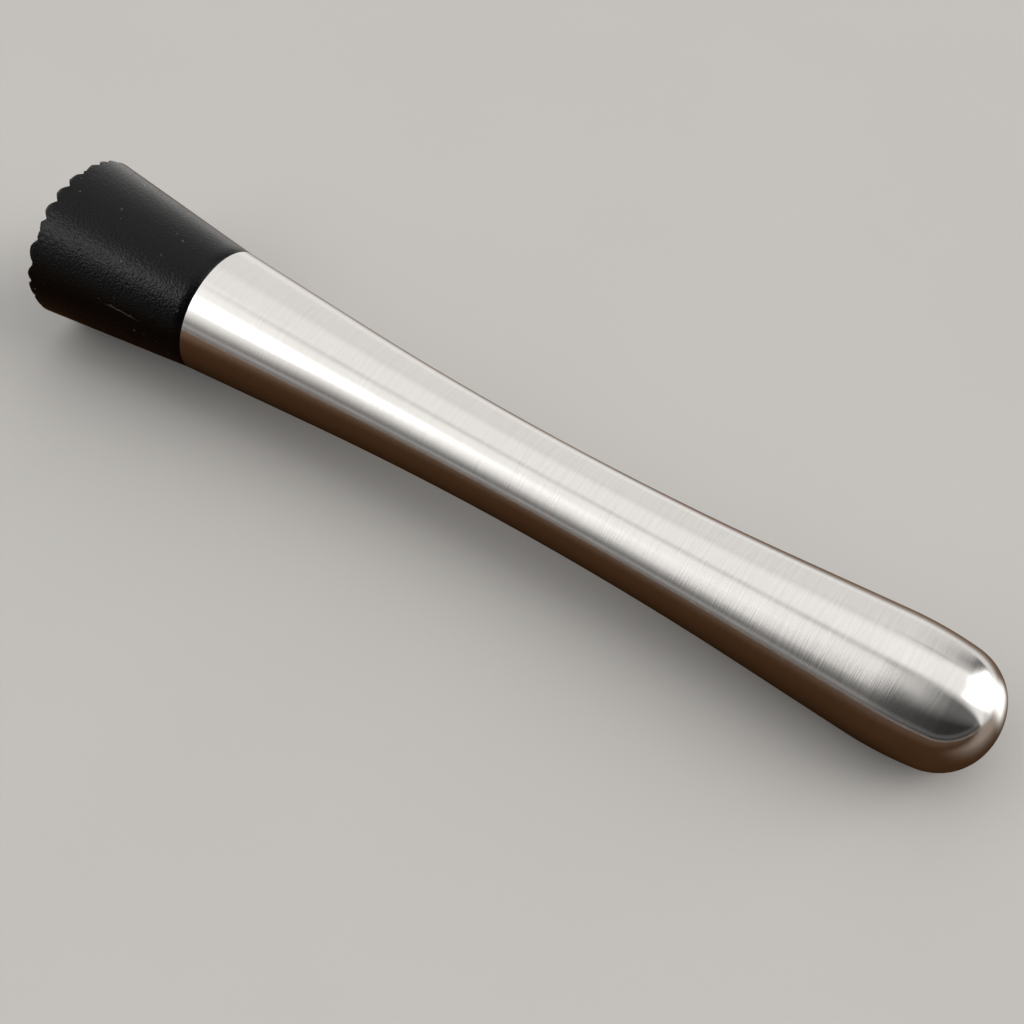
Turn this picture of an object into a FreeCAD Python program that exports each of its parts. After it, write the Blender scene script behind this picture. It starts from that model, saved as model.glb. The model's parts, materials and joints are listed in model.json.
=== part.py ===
"""Muddler: waisted steel handle with a domed end, and a toothed plastic head on a glued spigot.

The muddler is drawn along its own axis: s runs from the tooth tips to the end of the dome, and
r is the distance from that axis. It is then laid on its side, resting on the rim of its head and
on the belly of its handle, with +Z up, the head towards -X and the dome towards +X. The origin
is on the floor under the centre of its bounding box. Lengths are in millimetres.
"""
import FreeCAD, Part
import math
import os

# Whole muddler
LENGTH = 210.0

# Head, outside
HEAD_LENGTH = 36.2        # tooth tips to the joint with the handle
NECK_R = 13.25            # head and handle at the joint
RIM_R = 17.3              # widest point of the head
RIM_S = 1.15              # where it is
RIM_ROUND_R = 1.4         # rounding between the cone and the toothed face

# Teeth: square pyramids left between two crossing sets of V grooves
TOOTH_PITCH = 4.1
TOOTH_FLAT = 0.6          # width of the flat on each tip
GROOVE_DEPTH = 1.6
GROOVE_FLOOR = 0.1        # width of the flat at the bottom of a groove
GRID_TURN = 13.0          # turn of the tooth rows about the axis, from +Y, in degrees
GRID_OFFSET = 0.75        # from the axis to the middle tooth, across each set of grooves

# Handle, outside
WAIST_S = 114.7
WAIST_R = 9.65
WAIST_SWEEP_R = 737.0     # radius of the long hollow curve of the waist
BELLY_S = 190.6
BELLY_R = 12.9
BELLY_SWEEP_R = 71.0      # radius of the swelling before the dome
SHOULDER_R = 11.4         # radius of the turn from the belly into the dome
NOSE_R = 14.1             # radius of the dome's end

# Handle, sheet metal
WALL = 0.8
SEAM_S = 196.0            # weld between the tube and the dome cap
TUBE_EDGE_BREAK = 0.25    # broken outer edge of the tube at the joint with the head

# Spigot of the head, inside the tube
SPIGOT_LENGTH = 22.0
SPIGOT_GAP = 0.05         # radial gap to the bore of the tube
SPIGOT_LEAD = 1.0         # chamfer at the spigot's end
SHOULDER_BREAK = 0.15     # broken edge of the head at the joint

# Moulding core inside the head
CORE_R_MOUTH = 8.2
CORE_R_END = 7.4
CORE_END_S = 8.0

# Adhesive grooves in the spigot
ADHESIVE_WIDTH = 3.0
ADHESIVE_DEPTH = 0.7
ADHESIVE_FROM_JOINT = {"front": 4.0, "rear": 13.0}

AXIS = FreeCAD.Vector(1, 0, 0)


# ---------------------------------------------------------------- plane geometry in (s, r)

def polar(centre, radius, angle):
    return (centre[0] + radius * math.cos(angle), centre[1] + radius * math.sin(angle))


def direction(start, end):
    return math.atan2(end[1] - start[1], end[0] - start[0])


def vector(point):
    return FreeCAD.Vector(point[0], 0, point[1])


def line(start, end):
    return Part.LineSegment(vector(start), vector(end)).toShape()


def arc(centre, radius, first, last):
    points = [polar(centre, radius, a) for a in (first, (first + last) / 2, last)]
    return Part.Arc(*[vector(p) for p in points]).toShape()


def revolve(edges):
    """A solid of revolution about the axis, from a closed outline of edges in order."""
    return Part.Face(Part.Wire(edges)).revolve(FreeCAD.Vector(), AXIS, 360)


def closed_polygon(points):
    return [line(a, b) for a, b in zip(points, points[1:] + points[:1])]


# ---------------------------------------------------------------- outline of the handle

WAIST_CENTRE = (WAIST_S, WAIST_R + WAIST_SWEEP_R)
BELLY_CENTRE = (BELLY_S, BELLY_R - BELLY_SWEEP_R)
NOSE_CENTRE = (LENGTH - NOSE_R, 0.0)


def shoulder_centre():
    """Centre of the arc that touches the belly's arc and the nose's sphere from inside."""
    to_belly = BELLY_SWEEP_R - SHOULDER_R
    to_nose = NOSE_R - SHOULDER_R
    apart = math.dist(BELLY_CENTRE, NOSE_CENTRE)
    cosine = (to_belly ** 2 + apart ** 2 - to_nose ** 2) / (2 * to_belly * apart)
    return polar(BELLY_CENTRE, to_belly, direction(BELLY_CENTRE, NOSE_CENTRE) - math.acos(cosine))


SHOULDER_CENTRE = shoulder_centre()

# Angles, in radians, where the outline's lines and arcs meet: the same at every depth in the wall
NECK_TO_WAIST = direction(WAIST_CENTRE, (HEAD_LENGTH, NECK_R)) + math.acos(
    WAIST_SWEEP_R / math.dist(WAIST_CENTRE, (HEAD_LENGTH, NECK_R)))
WAIST_TO_BELLY = direction(WAIST_CENTRE, BELLY_CENTRE) - math.acos(
    (WAIST_SWEEP_R + BELLY_SWEEP_R) / math.dist(WAIST_CENTRE, BELLY_CENTRE))
BELLY_TO_SHOULDER = direction(BELLY_CENTRE, SHOULDER_CENTRE)
SHOULDER_TO_NOSE = direction(NOSE_CENTRE, SHOULDER_CENTRE)
SEAM_ANGLE = math.acos((SEAM_S - BELLY_S) / BELLY_SWEEP_R)


def neck_cone_r(s, depth):
    """Radius, at s, of the straight cone next to the joint, at a depth below the outer skin."""
    on_arc = polar(WAIST_CENTRE, WAIST_SWEEP_R + depth, NECK_TO_WAIST)
    return on_arc[1] + (s - on_arc[0]) * math.tan(NECK_TO_WAIST + math.pi / 2)


def tube_skin(first_point, depth):
    """Edges of the tube's skin at a depth below the outside, from the joint to the seam."""
    waist_r = WAIST_SWEEP_R + depth
    belly_r = BELLY_SWEEP_R - depth
    return [
        line(first_point, polar(WAIST_CENTRE, waist_r, NECK_TO_WAIST)),
        arc(WAIST_CENTRE, waist_r, NECK_TO_WAIST, WAIST_TO_BELLY),
        line(polar(WAIST_CENTRE, waist_r, WAIST_TO_BELLY),
             polar(BELLY_CENTRE, belly_r, WAIST_TO_BELLY + math.pi)),
        arc(BELLY_CENTRE, belly_r, WAIST_TO_BELLY + math.pi, SEAM_ANGLE),
    ]


def cap_skin(depth):
    """Edges of the cap's skin at a depth below the outside, from the seam to the axis."""
    belly_r = BELLY_SWEEP_R - depth
    shoulder_r = SHOULDER_R - depth
    nose_r = NOSE_R - depth
    return [
        arc(BELLY_CENTRE, belly_r, SEAM_ANGLE, BELLY_TO_SHOULDER),
        arc(SHOULDER_CENTRE, shoulder_r, BELLY_TO_SHOULDER, SHOULDER_TO_NOSE),
        arc(NOSE_CENTRE, nose_r, SHOULDER_TO_NOSE, 0.0),
    ]


def seam_line():
    return line(polar(BELLY_CENTRE, BELLY_SWEEP_R, SEAM_ANGLE),
                polar(BELLY_CENTRE, BELLY_SWEEP_R - WALL, SEAM_ANGLE))


# ---------------------------------------------------------------- pieces, along their own axis

def handle_tube():
    """The formed tube, open at the joint, with its outer edge broken there."""
    inner_edge = (HEAD_LENGTH, neck_cone_r(HEAD_LENGTH, WALL))
    flat_edge = (HEAD_LENGTH, NECK_R - TUBE_EDGE_BREAK)
    broken_s = HEAD_LENGTH + TUBE_EDGE_BREAK
    broken_edge = (broken_s, neck_cone_r(broken_s, 0.0))
    outside = tube_skin(broken_edge, 0.0)
    inside = tube_skin(inner_edge, WALL)
    end_face = [line(inner_edge, flat_edge), line(flat_edge, broken_edge)]
    return revolve(end_face + outside + [seam_line()] + inside[::-1])


def dome_cap():
    """The pressed dome that closes the tube."""
    nose_wall = line((LENGTH, 0.0), (LENGTH - WALL, 0.0))
    return revolve(cap_skin(0.0) + [nose_wall] + cap_skin(WALL)[::-1] + [seam_line()])


def spigot_r(s):
    return neck_cone_r(s, WALL) - SPIGOT_GAP


def adhesive_ring(from_joint):
    """A ring of adhesive that fills its groove and the gap to the bore over it."""
    start = HEAD_LENGTH + from_joint
    end = start + ADHESIVE_WIDTH
    return revolve(closed_polygon([
        (start, spigot_r(start) - ADHESIVE_DEPTH),
        (start, neck_cone_r(start, WALL)),
        (end, neck_cone_r(end, WALL)),
        (end, spigot_r(end) - ADHESIVE_DEPTH),
    ]))


def rim_arc_centre():
    return (RIM_S, RIM_R - RIM_ROUND_R)


def head_blank():
    """The head before its teeth and its adhesive grooves are cut."""
    centre = rim_arc_centre()
    neck = (HEAD_LENGTH, NECK_R)
    face_angle = math.acos(-RIM_S / RIM_ROUND_R)
    cone_angle = direction(centre, neck) + math.acos(RIM_ROUND_R / math.dist(centre, neck))
    cone_start = polar(centre, RIM_ROUND_R, cone_angle)
    break_s = HEAD_LENGTH - SHOULDER_BREAK
    break_r = NECK_R + SHOULDER_BREAK * (cone_start[1] - NECK_R) / (HEAD_LENGTH - cone_start[0])
    spigot_end = HEAD_LENGTH + SPIGOT_LENGTH
    corners = [
        cone_start,
        (break_s, break_r),
        (HEAD_LENGTH, NECK_R - SHOULDER_BREAK),
        (HEAD_LENGTH, spigot_r(HEAD_LENGTH)),
        (spigot_end - SPIGOT_LEAD, spigot_r(spigot_end - SPIGOT_LEAD)),
        (spigot_end, spigot_r(spigot_end) - SPIGOT_LEAD),
        (spigot_end, CORE_R_MOUTH),
        (CORE_END_S, CORE_R_END),
        (CORE_END_S, 0.0),
        (0.0, 0.0),
        polar(centre, RIM_ROUND_R, face_angle),
    ]
    edges = [line(a, b) for a, b in zip(corners, corners[1:])]
    return revolve(edges + [arc(centre, RIM_ROUND_R, face_angle, cone_angle)])


def groove(across):
    """One V groove over the whole face, centred at a distance across the rows."""
    half_top = (TOOTH_PITCH - TOOTH_FLAT) / 2
    half_floor = GROOVE_FLOOR / 2
    slope = GROOVE_DEPTH / (half_top - half_floor)
    over = 1.0            # how far the cutter stands out of the face
    half_over = half_top + over / slope
    section = [(-over, -half_over), (-over, half_over), (GROOVE_DEPTH, half_floor),
               (GROOVE_DEPTH, -half_floor)]
    corners = [FreeCAD.Vector(s, across + y, -RIM_R - over) for s, y in section]
    face = Part.Face(Part.makePolygon(corners + corners[:1]))
    return face.extrude(FreeCAD.Vector(0, 0, 2 * (RIM_R + over)))


def tooth_grooves():
    """Both sets of grooves, with a tooth near the centre of the face."""
    grooves_each_side = math.ceil(RIM_R / TOOTH_PITCH)
    cutters = []
    for turn in (GRID_TURN, GRID_TURN + 90):
        for row in range(-grooves_each_side, grooves_each_side):
            cutter = groove(GRID_OFFSET + (row + 0.5) * TOOTH_PITCH)
            cutter.rotate(FreeCAD.Vector(), AXIS, turn)
            cutters.append(cutter)
    return cutters


def toothed_head():
    """The moulded head: teeth on its face, a cored spigot with two adhesive grooves behind."""
    rings = [adhesive_ring(offset) for offset in ADHESIVE_FROM_JOINT.values()]
    return head_blank().cut(tooth_grooves()).cut(rings)


# ---------------------------------------------------------------- laying the muddler down

def resting_tilt():
    """Tilt of the axis, and its height over the floor at s = 0, when rim and belly touch it."""
    rim = rim_arc_centre()
    apart = math.dist(rim, BELLY_CENTRE)
    tilt = -direction(rim, BELLY_CENTRE) - math.asin((BELLY_SWEEP_R - RIM_ROUND_R) / apart)
    height = rim[0] * math.sin(tilt) + rim[1] * math.cos(tilt) + RIM_ROUND_R
    return tilt, height


def lay_down(shape):
    """Turn and move a piece from its own axis to its place on the floor."""
    tilt, height = resting_tilt()
    face_r = rim_arc_centre()[1] + math.sqrt(RIM_ROUND_R ** 2 - RIM_S ** 2)
    head_end = -face_r * math.sin(tilt)
    dome_end = NOSE_CENTRE[0] * math.cos(tilt) + NOSE_R
    shape.rotate(FreeCAD.Vector(), FreeCAD.Vector(0, 1, 0), math.degrees(tilt))
    shape.translate(FreeCAD.Vector(-(head_end + dome_end) / 2, 0, height))
    return shape


def main():
    nodes = {
        "toothed_head": toothed_head(),
        "handle_tube": handle_tube(),
        "dome_cap": dome_cap(),
    }
    for name, offset in ADHESIVE_FROM_JOINT.items():
        nodes[name + "_adhesive_ring"] = adhesive_ring(offset)
    os.makedirs("parts", exist_ok=True)
    for name, shape in nodes.items():
        laid = lay_down(shape)
        laid.exportStep("parts/" + name + ".step")
        print(name, "valid", laid.isValid(), "solids", len(laid.Solids),
              "volume %.1f mm3" % laid.Volume)
    tilt, height = resting_tilt()
    print("axis tilt %.3f degrees, height at the tooth tips %.3f mm" % (math.degrees(tilt), height))


main()
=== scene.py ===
"""Muddler: the look, floor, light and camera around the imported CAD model.

Pieces are drawn along the muddler's own axis, as in the CAD: s runs from the tooth tips to the
end of the dome, y and u run across it, and r is the distance from it. Those are in millimetres.
Everything that Blender holds is in metres, in the row frame.
"""

import json
import math

import bpy
import numpy as np
from mathutils import Euler, Matrix, Quaternion, Vector


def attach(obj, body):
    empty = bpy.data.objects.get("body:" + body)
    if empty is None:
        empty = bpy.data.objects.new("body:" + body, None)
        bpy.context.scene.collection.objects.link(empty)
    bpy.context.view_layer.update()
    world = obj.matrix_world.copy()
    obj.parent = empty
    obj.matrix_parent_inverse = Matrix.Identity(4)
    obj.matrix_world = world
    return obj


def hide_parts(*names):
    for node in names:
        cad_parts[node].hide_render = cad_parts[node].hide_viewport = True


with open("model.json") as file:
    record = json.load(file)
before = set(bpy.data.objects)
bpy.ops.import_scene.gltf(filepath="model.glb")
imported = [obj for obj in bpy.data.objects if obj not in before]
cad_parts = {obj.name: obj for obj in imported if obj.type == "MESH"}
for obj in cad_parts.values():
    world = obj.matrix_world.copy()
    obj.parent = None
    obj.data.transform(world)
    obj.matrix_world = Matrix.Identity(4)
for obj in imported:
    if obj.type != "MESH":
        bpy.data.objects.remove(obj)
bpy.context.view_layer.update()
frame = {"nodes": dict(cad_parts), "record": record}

MM = 0.001

# ------------------------------------------------------------------ dimensions of the CAD, in mm
LENGTH = 210.0
HEAD_LENGTH = 36.2
NECK_R = 13.25
RIM_R = 17.3
RIM_S = 1.15
RIM_ROUND_R = 1.4
TOOTH_PITCH = 4.1
TOOTH_FLAT = 0.6
GROOVE_DEPTH = 1.6
GROOVE_FLOOR = 0.1
GRID_TURN = math.radians(13.0)
GRID_OFFSET = 0.75
WAIST_S, WAIST_R, WAIST_SWEEP_R = 114.7, 9.65, 737.0
BELLY_S, BELLY_R, BELLY_SWEEP_R = 190.6, 12.9, 71.0
SHOULDER_R = 11.4
NOSE_R = 14.1
WALL = 0.8
SEAM_S = 196.0
TUBE_EDGE_BREAK = 0.25
SPIGOT_LENGTH = 22.0
SPIGOT_GAP = 0.05
SPIGOT_LEAD = 1.0
SHOULDER_BREAK = 0.15
CORE_R_MOUTH, CORE_R_END, CORE_END_S = 8.2, 7.4, 8.0
ADHESIVE_WIDTH, ADHESIVE_DEPTH = 3.0, 0.7
ADHESIVE_FROM_JOINT = (4.0, 13.0)

# ------------------------------------------------------------------ detail that only Blender adds
TIP_SOFTNESS = 0.12       # how far the moulding rounds the edges of the tooth tips
FLANK_SOFTNESS = 0.16     # and the edges between two flanks of a tooth
FACE_CELLS = 70           # mesh cells from the centre of the toothed face to its rim
EDGE_CELL_WIDTH = 0.4     # width of the outermost of them, as a share of the others'
# The mesh rows of the head's side first follow the zigzag of the rim, at these lengths from it
ZIGZAG_ROWS = (0.08, 0.3, 0.55, 0.8, 1.05, 1.3, 1.6, 1.9, 2.3, 2.8, 3.6, 4.6)
ROUND_ROWS_START = 8.0    # and are plain rings from here on
ROUND_ROWS = 14
HANDLE_SEGMENTS = 160     # mesh segments round the handle
TUBE_STEPS = (1.25, 3.0)  # longest mesh cells along the outside and the inside of the tube
CAP_STEPS = (0.4, 1.5)    # and of the cap
FINE_BEFORE_SEAM = 0.02   # angles along the belly's arc, in radians, for which the cells are
FINE_PAST_SEAM = 0.005    # shorter on each side of the seam

# ------------------------------------------------------------------ place of the axis

mount = next(m for m in frame["record"]["mounts"] if m["name"] == "tooth_tips")
ALONG = -Vector(mount["axis"]).normalized()
TILT = math.atan2(-ALONG.z, ALONG.x)
OWN_TURN = Euler((0, TILT, 0)).to_matrix()
# The mount is on the tip of the middle tooth, which is the grid's offset away from the axis
MIDDLE_TOOTH = Vector((0, GRID_OFFSET * (math.cos(GRID_TURN) - math.sin(GRID_TURN)),
                       GRID_OFFSET * (math.cos(GRID_TURN) + math.sin(GRID_TURN))))
FACE_CENTRE = Vector(mount["pos_m"]) - OWN_TURN @ MIDDLE_TOOTH * MM
OWN_TO_ROW = Matrix.Translation(FACE_CENTRE) @ OWN_TURN.to_4x4()


def to_row(points_mm):
    """Points (s, y, u) in mm, as an array, to the row frame in metres."""
    rotation = np.array(OWN_TO_ROW.to_3x3())
    return np.asarray(points_mm) @ rotation.T * MM + np.array(FACE_CENTRE)


# ------------------------------------------------------------------ plane geometry in (s, r)

def polar(centre, radius, angle):
    return (centre[0] + radius * math.cos(angle), centre[1] + radius * math.sin(angle))


def direction(start, end):
    return math.atan2(end[1] - start[1], end[0] - start[0])


def line(start, end, step):
    """Points from start to end, both included, no further apart than step."""
    count = max(1, math.ceil(math.dist(start, end) / step))
    return [tuple(np.array(start) + (np.array(end) - np.array(start)) * i / count)
            for i in range(count + 1)]


def arc(centre, radius, first, last, step):
    count = max(1, math.ceil(abs(last - first) * radius / step))
    return [polar(centre, radius, first + (last - first) * i / count) for i in range(count + 1)]


def joined(*paths):
    """One path from several, without the doubled points where they meet."""
    points = list(paths[0])
    for path in paths[1:]:
        points += path[1:] if math.dist(points[-1], path[0]) < 1e-6 else path
    return points


WAIST_CENTRE = (WAIST_S, WAIST_R + WAIST_SWEEP_R)
BELLY_CENTRE = (BELLY_S, BELLY_R - BELLY_SWEEP_R)
NOSE_CENTRE = (LENGTH - NOSE_R, 0.0)


def shoulder_centre():
    """Centre of the arc that touches the belly's arc and the nose's sphere from inside."""
    to_belly = BELLY_SWEEP_R - SHOULDER_R
    to_nose = NOSE_R - SHOULDER_R
    apart = math.dist(BELLY_CENTRE, NOSE_CENTRE)
    cosine = (to_belly ** 2 + apart ** 2 - to_nose ** 2) / (2 * to_belly * apart)
    return polar(BELLY_CENTRE, to_belly, direction(BELLY_CENTRE, NOSE_CENTRE) - math.acos(cosine))


SHOULDER_CENTRE = shoulder_centre()
NECK_TO_WAIST = direction(WAIST_CENTRE, (HEAD_LENGTH, NECK_R)) + math.acos(
    WAIST_SWEEP_R / math.dist(WAIST_CENTRE, (HEAD_LENGTH, NECK_R)))
WAIST_TO_BELLY = direction(WAIST_CENTRE, BELLY_CENTRE) - math.acos(
    (WAIST_SWEEP_R + BELLY_SWEEP_R) / math.dist(WAIST_CENTRE, BELLY_CENTRE))
BELLY_TO_SHOULDER = direction(BELLY_CENTRE, SHOULDER_CENTRE)
SHOULDER_TO_NOSE = direction(NOSE_CENTRE, SHOULDER_CENTRE)
SEAM_ANGLE = math.acos((SEAM_S - BELLY_S) / BELLY_SWEEP_R)


def neck_cone_r(s, depth):
    on_arc = polar(WAIST_CENTRE, WAIST_SWEEP_R + depth, NECK_TO_WAIST)
    return on_arc[1] + (s - on_arc[0]) * math.tan(NECK_TO_WAIST + math.pi / 2)


def tube_skin(first_point, depth, step):
    """The tube's skin at a depth below the outside, from the joint to the seam."""
    waist_r = WAIST_SWEEP_R + depth
    belly_r = BELLY_SWEEP_R - depth
    near_seam = SEAM_ANGLE + FINE_BEFORE_SEAM
    return joined(
        line(first_point, polar(WAIST_CENTRE, waist_r, NECK_TO_WAIST), step),
        arc(WAIST_CENTRE, waist_r, NECK_TO_WAIST, WAIST_TO_BELLY, step),
        line(polar(WAIST_CENTRE, waist_r, WAIST_TO_BELLY),
             polar(BELLY_CENTRE, belly_r, WAIST_TO_BELLY + math.pi), step),
        arc(BELLY_CENTRE, belly_r, WAIST_TO_BELLY + math.pi, near_seam, step / 2),
        arc(BELLY_CENTRE, belly_r, near_seam, SEAM_ANGLE, step / 10),
    )


def cap_skin(depth, step):
    """The cap's skin at a depth below the outside, from the seam to the axis."""
    belly_r = BELLY_SWEEP_R - depth
    near_seam = SEAM_ANGLE - FINE_PAST_SEAM
    return joined(
        arc(BELLY_CENTRE, belly_r, SEAM_ANGLE, near_seam, step / 4),
        arc(BELLY_CENTRE, belly_r, near_seam, BELLY_TO_SHOULDER, step),
        arc(SHOULDER_CENTRE, SHOULDER_R - depth, BELLY_TO_SHOULDER, SHOULDER_TO_NOSE, step),
        arc(NOSE_CENTRE, NOSE_R - depth, SHOULDER_TO_NOSE, 0.0, step),
    )


# ------------------------------------------------------------------ mesh helpers

def piece(name, points_mm, faces, sharp_angle, uvs=None):
    """A mesh object from points along the muddler's own axis. It rides on the muddler."""
    mesh = bpy.data.meshes.new(name)
    mesh.from_pydata(to_row(points_mm).tolist(), [], faces)
    if uvs is not None:
        layer = mesh.uv_layers.new(name="along")
        layer.data.foreach_set("uv", np.asarray(uvs, np.float32).ravel())
    mesh.validate()
    mesh.shade_smooth()
    mesh.set_sharp_from_angle(angle=math.radians(sharp_angle))
    obj = bpy.data.objects.new(name, mesh)
    bpy.context.scene.collection.objects.link(obj)
    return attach(obj, "root")


def revolved(name, outline, segments, sharp_angle=30):
    """A piece of revolution from an outline of (s, r) points. Points on the axis become poles.

    Its UV map has the length along the outline across, and the turn round the axis up.
    """
    angles = np.linspace(0, 2 * math.pi, segments, endpoint=False)
    lengths = np.concatenate([[0], np.cumsum([math.dist(a, b) for a, b in
                                              zip(outline, outline[1:] + outline[:1])])])
    lengths = lengths / lengths[-1]
    points, rows = [], []
    for s, r in outline:
        if r < 1e-6:
            rows.append([len(points)])
            points.append((s, 0.0, 0.0))
        else:
            rows.append(list(range(len(points), len(points) + segments)))
            points += [(s, r * math.cos(a), r * math.sin(a)) for a in angles]
    faces, uvs = [], []
    for i, row in enumerate(rows):
        after = rows[(i + 1) % len(rows)]
        if len(row) == 1 and len(after) == 1:
            continue
        for j in range(segments):
            k = (j + 1) % segments
            corners = [(row[j % len(row)], lengths[i], j), (row[k % len(row)], lengths[i], j + 1),
                       (after[k % len(after)], lengths[i + 1], j + 1),
                       (after[j % len(after)], lengths[i + 1], j)]
            if len(row) == 1:
                corners.pop(1)
            if len(after) == 1:
                corners.pop(2)
            faces.append([c[0] for c in corners])
            uvs += [(c[1], c[2] / segments) for c in corners]
    return piece(name, points, faces, sharp_angle, uvs)


# ------------------------------------------------------------------ handle

def tube_outline():
    """Closed outline of the tube, with the edge at the joint rolled over instead of cut flat."""
    edge = TUBE_EDGE_BREAK
    broken_s = HEAD_LENGTH + edge
    lip = [(HEAD_LENGTH + edge * (1 - math.sin(a)), NECK_R - edge * (1 - math.cos(a)))
           for a in np.linspace(math.pi / 2, 0, 6)]
    outside = tube_skin((broken_s, neck_cone_r(broken_s, 0.0)), 0.0, TUBE_STEPS[0])
    inside = tube_skin((HEAD_LENGTH, neck_cone_r(HEAD_LENGTH, WALL)), WALL, TUBE_STEPS[1])
    return lip[:-1] + outside + inside[::-1]


def cap_outline():
    return cap_skin(0.0, CAP_STEPS[0]) + cap_skin(WALL, CAP_STEPS[1])[::-1]


# ------------------------------------------------------------------ toothed head

def soft_max(a, b, softness):
    """The larger of two arrays, with the corner between them rounded."""
    near = np.maximum(softness - np.abs(a - b), 0)
    return np.maximum(a, b) + near ** 2 / (4 * np.maximum(softness, 1e-9))


def groove_depth(across):
    """Depth of one set of V grooves, at a distance across the rows from the axis."""
    half_top = (TOOTH_PITCH - TOOTH_FLAT) / 2
    half_floor = GROOVE_FLOOR / 2
    from_groove = np.abs(((across - GRID_OFFSET) % TOOTH_PITCH) - TOOTH_PITCH / 2)
    flank = GROOVE_DEPTH * (half_top - from_groove) / (half_top - half_floor)
    rounded = soft_max(flank, np.zeros_like(flank), TIP_SOFTNESS)
    return -soft_max(-rounded, np.full_like(flank, -GROOVE_DEPTH), TIP_SOFTNESS)


def tooth_surface(r, angle):
    """How far behind the tooth tips the grooves leave the face, at a place on it."""
    y, u = r * np.cos(angle), r * np.sin(angle)
    first = groove_depth(y * math.cos(GRID_TURN) + u * math.sin(GRID_TURN))
    second = groove_depth(u * math.cos(GRID_TURN) - y * math.sin(GRID_TURN))
    softness = np.clip(np.maximum(first, second), 0, 1) * FLANK_SOFTNESS
    return soft_max(first, second, softness)


RIM_CENTRE = (RIM_S, RIM_R - RIM_ROUND_R)
RIM_FACE_ANGLE = math.acos(-RIM_S / RIM_ROUND_R)
RIM_CONE_ANGLE = direction(RIM_CENTRE, (HEAD_LENGTH, NECK_R)) + math.acos(
    RIM_ROUND_R / math.dist(RIM_CENTRE, (HEAD_LENGTH, NECK_R)))
CONE_START = polar(RIM_CENTRE, RIM_ROUND_R, RIM_CONE_ANGLE)
RIM_ARC_LENGTH = RIM_ROUND_R * (RIM_FACE_ANGLE - RIM_CONE_ANGLE)
CONE_SLOPE = (NECK_R - CONE_START[1]) / (HEAD_LENGTH - CONE_START[0])
BREAK_S = HEAD_LENGTH - SHOULDER_BREAK
SIDE_LENGTH = RIM_ARC_LENGTH + math.hypot(1, CONE_SLOPE) * (BREAK_S - CONE_START[0])


def head_side(length):
    """(s, r) on the head's side, at a length along it from the edge of the flat face."""
    angle = RIM_FACE_ANGLE - np.minimum(length, RIM_ARC_LENGTH) / RIM_ROUND_R
    on_cone = np.maximum(length - RIM_ARC_LENGTH, 0) / math.hypot(1, CONE_SLOPE)
    s = RIM_CENTRE[0] + RIM_ROUND_R * np.cos(angle) + on_cone
    r = RIM_CENTRE[1] + RIM_ROUND_R * np.sin(angle) + on_cone * CONE_SLOPE
    return s, r


def face_front(r):
    """How far behind the tooth tips the uncut face is: it turns back at the rim."""
    over = np.clip((r - RIM_CENTRE[1]) / RIM_ROUND_R, 0, 1)
    return np.maximum(RIM_CENTRE[0] - RIM_ROUND_R * np.sqrt(1 - over ** 2), 0)


def zigzag(angles):
    """Length along the head's side at which the last groove leaves it, for each angle."""
    lengths = np.linspace(0, 6, 601)
    s, r = head_side(lengths)
    cut = s[None, :] < tooth_surface(r[None, :], angles[:, None]) - 1e-9
    last = np.where(cut.any(axis=1), cut.shape[1] - 1 - cut[:, ::-1].argmax(axis=1), 0)
    return lengths[last]


def spigot_r(s):
    return neck_cone_r(s, WALL) - SPIGOT_GAP


def spigot_outline():
    """The part of the head inside the handle, from the joint to the closed end of its core."""
    end = HEAD_LENGTH + SPIGOT_LENGTH
    points = [(HEAD_LENGTH, NECK_R - SHOULDER_BREAK), (HEAD_LENGTH, spigot_r(HEAD_LENGTH))]
    for offset in ADHESIVE_FROM_JOINT:
        start, stop = HEAD_LENGTH + offset, HEAD_LENGTH + offset + ADHESIVE_WIDTH
        points += [(start, spigot_r(start)), (start, spigot_r(start) - ADHESIVE_DEPTH),
                   (stop, spigot_r(stop) - ADHESIVE_DEPTH), (stop, spigot_r(stop))]
    lead = end - SPIGOT_LEAD
    return points + [(lead, spigot_r(lead)), (end, spigot_r(end) - SPIGOT_LEAD),
                     (end, CORE_R_MOUTH), (CORE_END_S, CORE_R_END)]


def face_border(n):
    """Places in the face's square grid along its border, in the order of their angles."""
    border = [(2 * n, j) for j in range(n, 2 * n)] + [(i, 2 * n) for i in range(2 * n, 0, -1)]
    border += [(0, j) for j in range(2 * n, 0, -1)] + [(i, 0) for i in range(0, 2 * n)]
    return border + [(2 * n, j) for j in range(0, n)]


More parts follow.
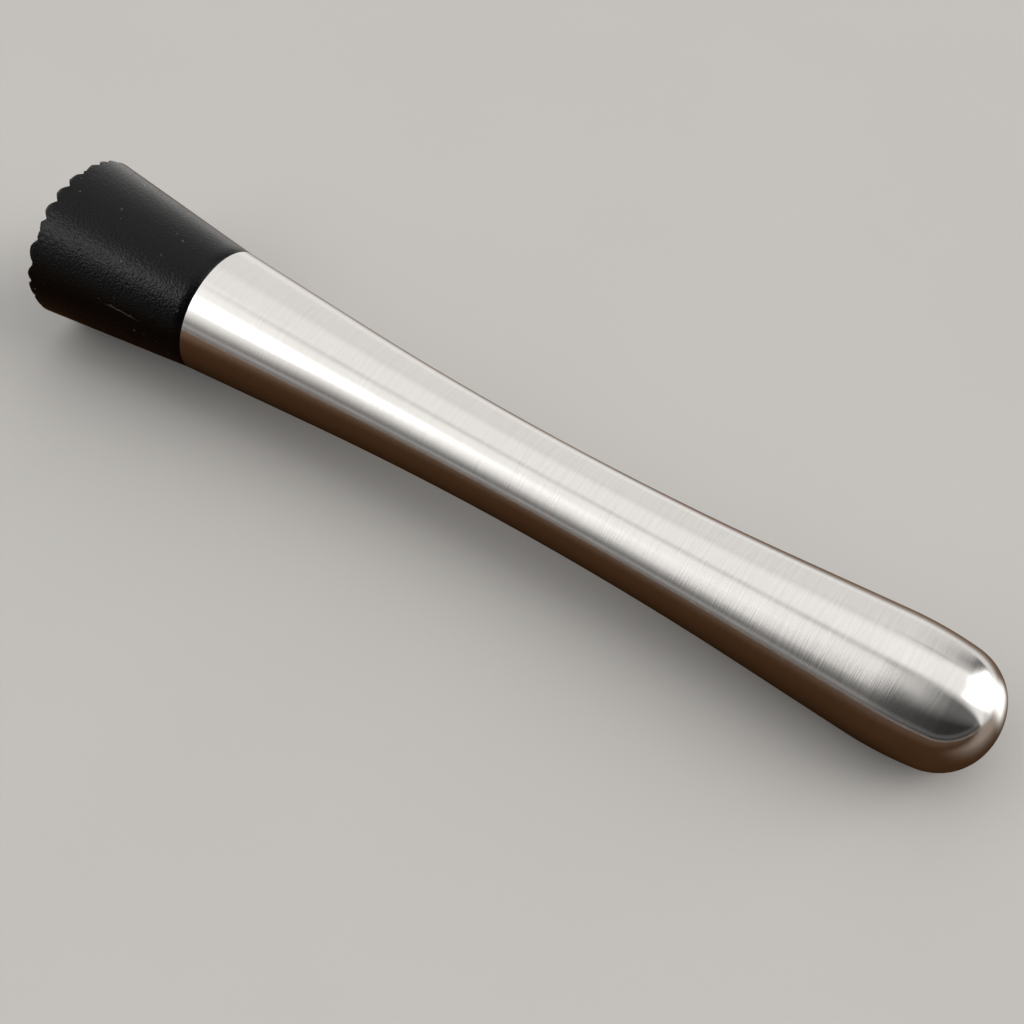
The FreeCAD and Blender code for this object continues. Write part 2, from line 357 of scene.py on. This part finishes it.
def head_piece():
    """The head in one closed mesh: a square grid bent round over the teeth, then rows along the
    side, the spigot and its core, from which the last row closes to a point."""
    n = FACE_CELLS
    a, b = np.meshgrid(np.arange(-n, n + 1), np.arange(-n, n + 1), indexing="ij")
    ring = np.maximum(abs(a), abs(b))
    mostly_a = abs(a) >= abs(b)
    with np.errstate(divide="ignore", invalid="ignore"):
        angle = np.where(mostly_a, math.pi / 4 * b / a + np.where(a < 0, math.pi, 0),
                         math.pi / 2 - math.pi / 4 * a / b + np.where(b < 0, math.pi, 0))
    angle[n, n] = 0.0
    edge_length = zigzag(angle.ravel()).reshape(angle.shape)
    edge_s, edge_r = head_side(edge_length)
    r = edge_r * np.minimum(ring / (n - 1 + EDGE_CELL_WIDTH), 1.0)
    s = np.where(ring == n, edge_s, np.maximum(tooth_surface(r, angle), face_front(r)))
    points = np.stack([s, r * np.cos(angle), r * np.sin(angle)], axis=-1).reshape(-1, 3).tolist()
    index = np.arange((2 * n + 1) ** 2).reshape(2 * n + 1, -1)
    faces = np.stack([index[:-1, :-1], index[:-1, 1:], index[1:, 1:], index[1:, :-1]],
                     axis=-1).reshape(-1, 4).tolist()

    border = face_border(n)
    row = [int(index[place]) for place in border]
    turn = np.array([angle[place] for place in border])
    start = np.array([edge_length[place] for place in border])
    profile = [head_side(start + length) for length in ZIGZAG_ROWS]
    profile += [head_side(np.full_like(start, length))
                for length in np.linspace(ROUND_ROWS_START, SIDE_LENGTH, ROUND_ROWS)]
    profile += [(np.full_like(start, s), np.full_like(start, r)) for s, r in spigot_outline()]
    for row_s, row_r in profile:
        after = list(range(len(points), len(points) + len(row)))
        points += np.stack([row_s, row_r * np.cos(turn), row_r * np.sin(turn)], axis=-1).tolist()
        faces += [[row[k], row[k + 1 - len(row)], after[k + 1 - len(row)], after[k]]
                  for k in range(len(row))]
        row = after
    points.append((CORE_END_S, 0.0, 0.0))
    faces += [[row[k], row[k + 1 - len(row)], len(points) - 1] for k in range(len(row))]
    return piece("head_moulding", points, faces, 50)


head = head_piece()
tube = revolved("handle_steel", tube_outline(), HANDLE_SEGMENTS)
cap = revolved("dome_steel", cap_outline(), HANDLE_SEGMENTS)
for shown, node, slot in ((head, "toothed_head", "head_plastic"),
                          (tube, "handle_tube", "brushed_steel"),
                          (cap, "dome_cap", "polished_steel")):
    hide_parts(node)


# ------------------------------------------------------------------ node helpers

class Nodes:
    """Short calls that add nodes to one tree. An input is a number, a tuple or a socket."""

    def __init__(self, tree):
        self.tree = tree
        tree.nodes.clear()

    def add(self, kind, inputs=(), **settings):
        node = self.tree.nodes.new(kind)
        for name, value in settings.items():
            setattr(node, name, value)
        for name, value in dict(inputs).items():
            if isinstance(value, bpy.types.NodeSocket):
                self.tree.links.new(value, node.inputs[name])
            else:
                node.inputs[name].default_value = value
        return node

    def math(self, operation, *values):
        node = self.add("ShaderNodeMath", dict(enumerate(values)), operation=operation)
        return node.outputs[0]

    def product(self, first, *others):
        for other in others:
            first = self.math("MULTIPLY", first, other)
        return first

    def sum(self, first, *others):
        for other in others:
            first = self.math("ADD", first, other)
        return first

    def axes(self, vector):
        return self.add("ShaderNodeSeparateXYZ", {"Vector": vector}).outputs

    def degrees(self, rise, run):
        """The angle of a direction, in degrees from the run's axis."""
        return self.product(self.math("ARCTAN2", rise, run), 180 / math.pi)

    def smooth(self, value, start, end, low=0.0, high=1.0):
        """low before start and high after end, with a smooth turn between."""
        node = self.add("ShaderNodeMapRange",
                        {"Value": value, "From Min": start, "From Max": end, "To Min": low,
                         "To Max": high}, interpolation_type="SMOOTHSTEP")
        return node.outputs[0]

    def straight(self, value, start, end, low, high):
        """low before start and high after end, with a straight line between."""
        node = self.add("ShaderNodeMapRange", {"Value": value, "From Min": start, "From Max": end,
                                               "To Min": low, "To Max": high})
        return node.outputs[0]

    def between(self, share, low, high):
        """low where the share is 0, and high where it is 1."""
        return self.straight(share, 0.0, 1.0, low, high)

    def band(self, value, first, last, soft):
        """1 between first and last, 0 outside them, with smooth sides."""
        rise = self.smooth(value, first - soft, first + soft)
        fall = self.smooth(value, last - soft, last + soft, 1.0, 0.0)
        return self.product(rise, fall)

    def mix(self, factor, a, b):
        """Colour a where the factor is 0, and b where it is 1."""
        node = self.add("ShaderNodeMix", data_type="RGBA")
        for socket, value in ((node.inputs[0], factor), (node.inputs[6], a), (node.inputs[7], b)):
            if isinstance(value, bpy.types.NodeSocket):
                self.tree.links.new(value, socket)
            else:
                socket.default_value = value
        return node.outputs[2]

    def noise(self, coordinates, scale, detail=2.0, roughness=0.5):
        node = self.add("ShaderNodeTexNoise", {"Vector": coordinates, "Scale": scale,
                                               "Detail": detail, "Roughness": roughness})
        return node.outputs["Fac"]

    def own_axis(self, scale=(1.0, 1.0, 1.0)):
        """Coordinates along the muddler's own axis in mm, times a scale for each of s, y, u."""
        place = self.add("ShaderNodeTexCoord").outputs["Object"]
        own = self.add("ShaderNodeMapping", {"Vector": place, "Location": FACE_CENTRE,
                                             "Rotation": (0, TILT, 0), "Scale": (MM, MM, MM)},
                       vector_type="TEXTURE")
        return self.vector("MULTIPLY", own.outputs[0], scale)

    def vector(self, operation, a, b):
        node = self.add("ShaderNodeVectorMath", {0: a, 1: b}, operation=operation)
        return node.outputs["Value" if operation == "DOT_PRODUCT" else "Vector"]

    def bump(self, height, distance, strength=1.0):
        node = self.add("ShaderNodeBump", {"Height": height, "Strength": strength,
                                           "Distance": distance})
        return node.outputs[0]


def material(name):
    made = bpy.data.materials.new(name)
    made.use_nodes = True
    nodes = Nodes(made.node_tree)
    shader = nodes.add("ShaderNodeBsdfPrincipled")
    output = nodes.add("ShaderNodeOutputMaterial", {"Surface": shader.outputs[0]})
    return made, nodes, shader, output


# ------------------------------------------------------------------ steel

def steel(name):
    """Stainless steel brushed round the handle. The brushing gives way to polish on the dome.

    Its noises are scaled in waves per mm: close together along the handle, drawn out round it.
    """
    made, nodes, shader, _ = material(name)
    along = nodes.axes(nodes.own_axis())[0]
    hairlines = nodes.noise(nodes.own_axis((4.2, 0.16, 0.16)), 1.0, 2.0, 0.6)
    strokes = nodes.noise(nodes.own_axis((1.4, 0.09, 0.09)), 1.0, 3.0, 0.6)
    patches = nodes.noise(nodes.own_axis((0.10, 0.10, 0.10)), 1.0, 2.0, 0.5)
    brushed = nodes.product(nodes.smooth(along, 60.0, 170.0, 0.6, 1.0),
                            nodes.smooth(along, 192.0, 208.0, 1.0, 0.25))

    both = nodes.sum(nodes.product(hairlines, 0.5), nodes.product(strokes, 0.5))
    uneven = nodes.product(nodes.math("SUBTRACT", both, 0.5), brushed)
    tone = nodes.math("MULTIPLY_ADD", uneven, 1.4, 0.5)
    colour = nodes.mix(tone, (0.62, 0.60, 0.575, 1), (0.76, 0.745, 0.725, 1))
    base_roughness = nodes.smooth(along, 182.0, 206.0, 0.22, 0.13)
    roughness = nodes.sum(base_roughness, nodes.product(uneven, 0.12),
                          nodes.straight(patches, 0.3, 0.7, -0.02, 0.02))
    tangent = nodes.add("ShaderNodeTangent", direction_type="UV_MAP", uv_map="along")

    shader.inputs["Metallic"].default_value = 1.0
    shader.inputs["Anisotropic"].default_value = 0.75
    nodes.tree.links.new(colour, shader.inputs["Base Color"])
    nodes.tree.links.new(roughness, shader.inputs["Roughness"])
    nodes.tree.links.new(nodes.bump(uneven, 2.5e-5), shader.inputs["Normal"])
    nodes.tree.links.new(tangent.outputs[0], shader.inputs["Tangent"])
    return made


tube.data.materials.append(steel("brushed_steel_look"))
cap.data.materials.append(steel("polished_steel_look"))


# ------------------------------------------------------------------ black plastic

SCRATCH = ((18.4, -14.2, 5.5), (27.6, -13.5, 4.5))    # its two ends, along the own axis


def scratch(nodes):
    """1 on a long thin scratch on the near side of the head, 0 elsewhere."""
    first, last = np.array(SCRATCH)
    length = float(np.linalg.norm(last - first))
    way = (last - first) / length
    outward = (0.0, first[1], first[2])
    side = np.cross(way, outward)
    wander = nodes.noise(nodes.own_axis((0.5, 0.5, 0.5)), 1.0, 1.0, 0.5)
    offset = nodes.vector("SUBTRACT", nodes.own_axis(), tuple(first))
    along = nodes.vector("DOT_PRODUCT", offset, tuple(way))
    aside = nodes.vector("DOT_PRODUCT", offset, tuple(side / np.linalg.norm(side)))
    bend = nodes.straight(wander, 0.3, 0.7, -0.3, 0.3)
    aside = nodes.math("ABSOLUTE", nodes.sum(aside, bend))
    near_side = nodes.vector("DOT_PRODUCT", nodes.own_axis(), outward)
    return nodes.product(nodes.smooth(aside, 0.06, 0.24, 1.0, 0.0),
                         nodes.band(along, 1.0, length - 1.0, 1.0),
                         nodes.smooth(near_side, 0.0, 1.0),
                         nodes.smooth(wander, 0.35, 0.55, 0.35, 1.0))


def black_plastic():
    """Satin black plastic with the fine grain of a textured mould, light rubs and some dust."""
    made, nodes, shader, _ = material("head_plastic_look")
    place = nodes.own_axis()
    grain = nodes.noise(place, 2.0, 1.0, 0.5)
    waves = nodes.noise(place, 0.25, 2.0, 0.5)
    rubs = nodes.noise(nodes.own_axis((0.35, 1.6, 1.6)), 1.0, 4.0, 0.7)
    rubbed = nodes.smooth(rubs, 0.60, 0.78)

    colour = nodes.mix(nodes.product(grain, 0.6), (0.0010, 0.0010, 0.0011, 1),
                       (0.0030, 0.0030, 0.0032, 1))
    colour = nodes.mix(nodes.product(rubbed, 0.35), colour, (0.010, 0.0095, 0.009, 1))
    dust = nodes.smooth(nodes.noise(place, 0.80, 1.0, 0.5), 0.745, 0.790)
    colour = nodes.mix(nodes.math("MAXIMUM", dust, scratch(nodes)), colour,
                       (0.070, 0.067, 0.064, 1))
    roughness = nodes.sum(nodes.straight(waves, 0.3, 0.7, 0.19, 0.23),
                          nodes.straight(grain, 0.3, 0.7, -0.03, 0.06))
    facing = nodes.add("ShaderNodeLayerWeight", {"Blend": 0.5}).outputs["Facing"]
    roughness = nodes.math("SUBTRACT", roughness, nodes.smooth(facing, 0.65, 0.95, 0.0, 0.10))

    shader.inputs["IOR"].default_value = 1.46
    # the mould's fine texture dulls the gloss that is seen square on, but not at the edges
    shader.inputs["Specular Tint"].default_value = (0.38, 0.38, 0.38, 1)
    nodes.tree.links.new(colour, shader.inputs["Base Color"])
    nodes.tree.links.new(roughness, shader.inputs["Roughness"])
    nodes.tree.links.new(nodes.bump(grain, 1.0e-4), shader.inputs["Normal"])
    return made


head.data.materials.append(black_plastic())


# ------------------------------------------------------------------ adhesive

def adhesive():
    """Cured epoxy, amber and a little cloudy."""
    made, nodes, shader, _ = material("adhesive_look")
    cloud = nodes.noise(nodes.own_axis(), 0.9, 3.0, 0.6)
    colour = nodes.mix(cloud, (0.30, 0.17, 0.05, 1), (0.52, 0.36, 0.15, 1))
    shader.inputs["Coat Weight"].default_value = 0.5
    nodes.tree.links.new(colour, shader.inputs["Base Color"])
    nodes.tree.links.new(nodes.straight(cloud, 0.3, 0.7, 0.18, 0.32), shader.inputs["Roughness"])
    nodes.tree.links.new(nodes.bump(cloud, 5e-5, 0.4), shader.inputs["Normal"])
    return made


adhesive_look = adhesive()
for node in ("front_adhesive_ring", "rear_adhesive_ring"):
    for material_slot in frame["nodes"][node].material_slots:
        material_slot.material = adhesive_look


# ------------------------------------------------------------------ floor

def square(name, half_side, height):
    """A level square about the origin, which isn't part of the muddler."""
    corners = [(-half_side, -half_side), (half_side, -half_side),
               (half_side, half_side), (-half_side, half_side)]
    mesh = bpy.data.meshes.new(name)
    mesh.from_pydata([(x, y, height) for x, y in corners], [], [(0, 1, 2, 3)])
    obj = bpy.data.objects.new(name, mesh)
    bpy.context.scene.collection.objects.link(obj)
    return obj


def floor_material():
    made, nodes, shader, _ = material("floor_look")
    place = nodes.add("ShaderNodeTexCoord").outputs["Object"]
    mottle = nodes.noise(place, 14.0, 3.0, 0.5)
    colour = nodes.mix(mottle, (0.500, 0.488, 0.470, 1), (0.530, 0.518, 0.500, 1))
    nodes.tree.links.new(colour, shader.inputs["Base Color"])
    shader.inputs["Roughness"].default_value = 0.85
    shader.inputs["Specular IOR Level"].default_value = 0.0
    return made


floor = square("floor", 4.0, 0.0)
floor.data.materials.append(floor_material())


# The brown of the card, from one end of its fleck to the other. Under the muddler it is darker, a
# painted shadow.
BROWN_UNDER_PAINTED_SHADOW = ((0.056, 0.027, 0.012, 1), (0.072, 0.035, 0.016, 1))
BROWN_BEFORE = ((0.092, 0.056, 0.035, 1), (0.112, 0.070, 0.045, 1))
BROWN_BEHIND = ((0.14, 0.085, 0.052, 1), (0.17, 0.105, 0.066, 1))
# painted light: the card is paler past the dome, where the window lights the table
PAINTED_LIGHT_PAST_DOME = (0.34, 0.28, 0.24, 1)


def card_material():
    """The card on the floor that only reflections see, in place of a dark wooden table: brown
    before the muddler with a darker painted shadow under it, a glowing white behind it as a
    painted reflection of the window in the table, a paler patch of painted window light past the
    dome, and a glowing painted glare of the window there."""
    made, nodes, shader, output = material("reflection_card_look")
    place = nodes.add("ShaderNodeTexCoord").outputs["Object"]
    x, y, _ = nodes.axes(place)
    fleck = nodes.noise(place, 90.0, 2.0, 0.5)
    under, before, behind = (nodes.mix(fleck, *ends)
                             for ends in (BROWN_UNDER_PAINTED_SHADOW, BROWN_BEFORE, BROWN_BEHIND))
    # painted shadow: the card is a darker brown under the muddler, where its shadow falls on the
    # table
    colour = nodes.mix(nodes.smooth(y, -0.12, -0.045, 1.0, 0.0), under, before)
    before_head = nodes.product(nodes.smooth(x, -0.12, -0.075, 1.0, 0.0),
                                nodes.smooth(y, -0.10, -0.06, 1.0, 0.0))
    colour = nodes.mix(before_head, colour, behind)
    colour = nodes.mix(nodes.smooth(y, 0.004, 0.020), colour, behind)
    # painted light: a paler patch past the dome stands in for the window-lit table
    painted_light_past_dome = nodes.product(nodes.smooth(x, 0.108, 0.150), nodes.smooth(y, -0.06, 0.0))
    colour = nodes.mix(painted_light_past_dome, colour, PAINTED_LIGHT_PAST_DOME)
    nodes.tree.links.new(colour, shader.inputs["Base Color"])
    shader.inputs["Roughness"].default_value = 0.8
    shader.inputs["Specular IOR Level"].default_value = 0.0

    # the glowing white behind, a painted reflection of the window, begins further back by the
    # head, and fades in more slowly by the dome
    by_head = nodes.smooth(x, -0.115, -0.090, 1.0, 0.0)
    by_dome = nodes.smooth(x, 0.0, 0.07)
    start = nodes.math("MULTIPLY_ADD", by_head, 0.010, nodes.between(by_dome, 0.022, 0.027))
    painted_reflection_behind = nodes.smooth(y, start, nodes.between(by_dome, 0.075, 0.122))

    # the glare, a painted glow on the card, is a sector that opens from a point under the dome
    from_point = nodes.math("SUBTRACT", x, 0.095)
    azimuth = nodes.degrees(y, from_point)
    distance = nodes.math("SQRT", nodes.sum(nodes.product(y, y),
                                            nodes.product(from_point, from_point)))
    glare = nodes.product(nodes.band(azimuth, 24.0, 58.0, 9.0),
                          nodes.smooth(distance, 0.016, 0.045))
    strength = nodes.math("MULTIPLY_ADD", glare, 0.9, nodes.smooth(x, 0.07, 0.11, 1.05, 0.86))
    # painted glow: the white behind and the glare are emission on the card, seen only in
    # reflections
    white = nodes.add("ShaderNodeEmission", {"Color": (1.0, 0.99, 0.97, 1), "Strength": strength})
    card = nodes.add("ShaderNodeMixShader", {0: nodes.math("MAXIMUM", painted_reflection_behind, glare),
                                             1: shader.outputs[0], 2: white.outputs[0]})
    nodes.tree.links.new(card.outputs[0], output.inputs["Surface"])
    return made


cards = square("reflection_cards", 1.2, 0.00005)      # only just above the floor
cards.data.materials.append(card_material())
for ray in ("camera", "diffuse", "transmission", "volume_scatter", "shadow"):
    setattr(cards, "visible_" + ray, False)


# ------------------------------------------------------------------ light

LIGHT_COLOUR = (1.0, 0.99, 0.975, 1)
BACKDROP_COLOUR = (0.60, 0.59, 0.575, 1)
NEAR_LEVEL = 0.16
# What the near side has on top of that: up to one x in full, past another no more, and how much
NEAR_STEPS = ((-0.36, -0.27, 0.30), (-0.25, -0.19, -0.38), (-0.155, -0.09, 0.98),
              (-0.03, 0.06, -0.35), (0.06, 0.23, 0.75))
WINDOW_LEVEL = 2.6


def far_side(nodes, x, turn):
    """A pale wall and a brighter box above it, with a thin dark corner between. Both end
    overhead."""
    past_end = nodes.smooth(x, 0.08, 0.18)
    wall = nodes.smooth(x, -0.15, 0.15, 0.97, 0.80)
    box = nodes.product(nodes.smooth(turn, nodes.between(past_end, 46.0, 38.0),
                                     nodes.between(past_end, 60.0, 48.0)),
                        nodes.smooth(x, -0.30, -0.05, 0.08, 0.32))
    end = nodes.smooth(turn, nodes.between(past_end, 87.0, 82.0),
                       nodes.between(past_end, 103.0, 108.0), 1.0, 0.0)
    corner = nodes.product(nodes.band(turn, 41.0, 45.0, 2.0),
                           nodes.math("SUBTRACT", nodes.smooth(x, -0.25, 0.05, 0.04, 0.35),
                                      nodes.smooth(x, 0.11, 0.18, 0.0, 0.35)))
    return nodes.product(nodes.sum(wall, box), end, nodes.math("SUBTRACT", 1.0, corner))


def near_side(nodes, x, turn):
    """Light that begins overhead and falls away towards the horizon, by x."""
    delay = nodes.product(nodes.smooth(x, -0.33, -0.26, -8.0, 8.0),
                          nodes.smooth(x, -0.06, 0.08, 1.0, 0.0))
    rise = nodes.smooth(nodes.math("SUBTRACT", turn, delay), 82.0, 98.0)
    fall_start = nodes.smooth(x, -0.20, -0.08, 146.0, 113.0)
    fall_end = nodes.sum(nodes.smooth(x, -0.30, -0.19, 174.0, 149.0),
                         nodes.smooth(x, -0.18, -0.11, 0.0, -15.0),
                         nodes.smooth(x, -0.03, 0.08, 0.0, 22.0))
    fall = nodes.smooth(turn, fall_start, fall_end, 1.0, 0.0)
    level = nodes.sum(NEAR_LEVEL, *(nodes.smooth(x, full, gone, step, 0.0)
                                    for full, gone, step in NEAR_STEPS))
    return nodes.product(rise, fall, level)


def window(nodes, azimuth, z):
    """A bright window past the dome. Its sides lean and its top isn't level."""
    near_frame = nodes.smooth(nodes.math("MULTIPLY_ADD", z, 20.0, azimuth), 14.0, 32.0)
    far_frame = nodes.smooth(nodes.math("MULTIPLY_ADD", z, 6.0, azimuth), 56.0, 70.0, 1.0, 0.0)
    top = nodes.math("MULTIPLY_ADD", azimuth, 0.0025, z)
    return nodes.product(near_frame, far_frame, nodes.smooth(top, 0.78, 0.96, WINDOW_LEVEL, 0.0))


def studio():
    """Soft studio light by direction: x runs along the muddler, and the turn round it is 0 at
    the far side's horizon, 90 overhead and 180 at the near side's horizon. The camera sees a
    plain backdrop in its place."""
    world = bpy.data.worlds.new("studio")
    bpy.context.scene.world = world
    world.use_nodes = True
    nodes = Nodes(world.node_tree)
    way = nodes.add("ShaderNodeTexCoord").outputs["Generated"]
    x, y, z = nodes.axes(way)
    turn = nodes.degrees(z, y)
    azimuth = nodes.degrees(y, x)

    room = nodes.sum(nodes.smooth(x, -0.30, -0.05, 0.12, 0.0),
                     nodes.smooth(x, 0.10, 0.25, 0.07, 0.035))
    sides = nodes.math("MAXIMUM", far_side(nodes, x, turn), near_side(nodes, x, turn))
    low_line = nodes.product(nodes.band(z, 0.085, 0.185, 0.03),
                             nodes.smooth(y, -0.10, 0.0, 1.0, 0.0),
                             nodes.smooth(x, -0.25, -0.05, 0.36, 0.09))
    post = nodes.product(nodes.band(azimuth, 68.0, 82.0, 4.0),
                         nodes.smooth(z, 0.30, 0.80, 0.75, 0.0))
    level = nodes.sum(nodes.math("MAXIMUM", sides, room), low_line)
    level = nodes.product(level, nodes.math("SUBTRACT", 1.0, post))
    level = nodes.sum(level, window(nodes, azimuth, z))

    lit = nodes.add("ShaderNodeBackground", {"Color": LIGHT_COLOUR, "Strength": level})
    plain = nodes.add("ShaderNodeBackground", {"Color": BACKDROP_COLOUR, "Strength": 1.0})
    seen = nodes.add("ShaderNodeLightPath").outputs["Is Camera Ray"]
    mixed = nodes.add("ShaderNodeMixShader", {0: seen, 1: lit.outputs[0], 2: plain.outputs[0]})
    nodes.add("ShaderNodeOutputWorld", {"Surface": mixed.outputs[0]})


studio()


HEAD_MIDDLE_S = 20.0
SOFTBOX_WAY = Vector((-0.30, -0.60, 0.74)).normalized()       # from the middle of the head
SOFTBOX_DISTANCE = 0.30
SOFTBOX_SIZE = (0.10, 0.11)
SOFTBOX_LEVEL = 2.8


def head_light():
    """A small softbox by the head, seen only as a sheen along the top of its near side."""
    head_middle = Vector(to_row([(HEAD_MIDDLE_S, 0.0, 0.0)])[0])
    light = bpy.data.lights.new("head_softbox", "AREA")
    light.shape = "RECTANGLE"
    light.size, light.size_y = SOFTBOX_SIZE
    light.energy = SOFTBOX_LEVEL * math.pi * light.size * light.size_y
    lamp = bpy.data.objects.new("head_softbox", light)
    bpy.context.scene.collection.objects.link(lamp)
    lamp.location = head_middle + SOFTBOX_WAY * SOFTBOX_DISTANCE
    lamp.rotation_euler = SOFTBOX_WAY.to_track_quat("Z", "Y").to_euler()
    lamp.visible_diffuse = False
    lamp.visible_camera = False


head_light()
bpy.context.scene.view_settings.view_transform = "Standard"


# ------------------------------------------------------------------ camera

CAMERA_AZIMUTH = math.radians(32.37)
CAMERA_ELEVATION = math.radians(57.633)
CAMERA_ROLL = math.radians(0.214)
CAMERA_DISTANCE = 0.33427
AIM = Vector((0.00739, -0.00804, 0.01481))

camera_data = bpy.data.cameras.new("camera")
camera_data.lens = 61.52
camera_data.sensor_width = 36.0
camera_data.clip_start = 0.01
camera = bpy.data.objects.new("camera", camera_data)
bpy.context.scene.collection.objects.link(camera)
look = Vector((-math.sin(CAMERA_AZIMUTH) * math.cos(CAMERA_ELEVATION),
               math.cos(CAMERA_AZIMUTH) * math.cos(CAMERA_ELEVATION),
               -math.sin(CAMERA_ELEVATION)))
camera.location = AIM - look * CAMERA_DISTANCE
upright = look.to_track_quat("-Z", "Y")
camera.rotation_euler = (upright @ Quaternion((0, 0, 1), CAMERA_ROLL)).to_euler()
bpy.context.scene.camera = camera
